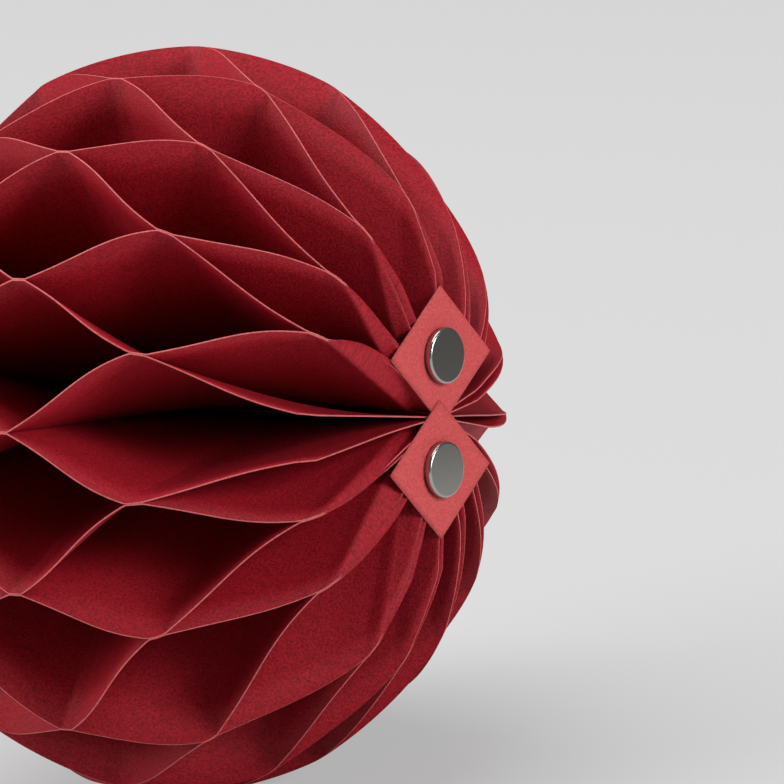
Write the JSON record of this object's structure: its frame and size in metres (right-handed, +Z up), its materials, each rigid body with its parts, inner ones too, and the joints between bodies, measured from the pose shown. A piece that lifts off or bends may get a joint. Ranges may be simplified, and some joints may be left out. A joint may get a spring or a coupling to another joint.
{
  "type": "honeycomb paper ball",
  "caption": "Honeycomb ball of glued red paper sheets, lying on its side, with diamond paper tabs and disc magnets at both ends for hanging or joining.",
  "frame": {"origin": "middle of the ball's footprint, on the surface it lies on", "axes": "+X along the ball's own axis towards the end named right, +Z up, the closing line faces -Y and slightly up"},
  "size_m": [0.1072, 0.1322, 0.1321],
  "materials": {
    "paper": "matt red heavy paper with a fine fibrous grain and paler cut edges",
    "tab_paper": "the same matt red paper, lit more fully",
    "magnet": "nickel plating, satin flat face and bright rounded edge"
  },
  "bodies": {
    "root": {"sheet_01": "paper", "sheet_02": "paper", "sheet_03": "paper", "sheet_04": "paper", "sheet_05": "paper", "sheet_06": "paper", "sheet_07": "paper", "sheet_08": "paper", "sheet_09": "paper", "sheet_10": "paper", "sheet_11": "paper", "sheet_12": "paper", "sheet_13": "paper", "sheet_14": "paper", "sheet_15": "paper", "sheet_16": "paper", "sheet_17": "paper", "sheet_18": "paper", "sheet_19": "paper", "sheet_20": "paper", "sheet_21": "paper", "sheet_22": "paper", "sheet_23": "paper", "sheet_24": "paper", "sheet_25": "paper", "sheet_26": "paper", "sheet_27": "paper", "sheet_28": "paper", "sheet_29": "paper", "sheet_30": "paper", "sheet_31": "paper", "sheet_32": "paper", "upper_tab_right": "tab_paper", "lower_tab_right": "tab_paper", "upper_tab_left": "tab_paper", "lower_tab_left": "tab_paper", "upper_magnet_right": "magnet", "lower_magnet_right": "magnet", "upper_magnet_left": "magnet", "lower_magnet_left": "magnet"}
  },
  "joints": []
}
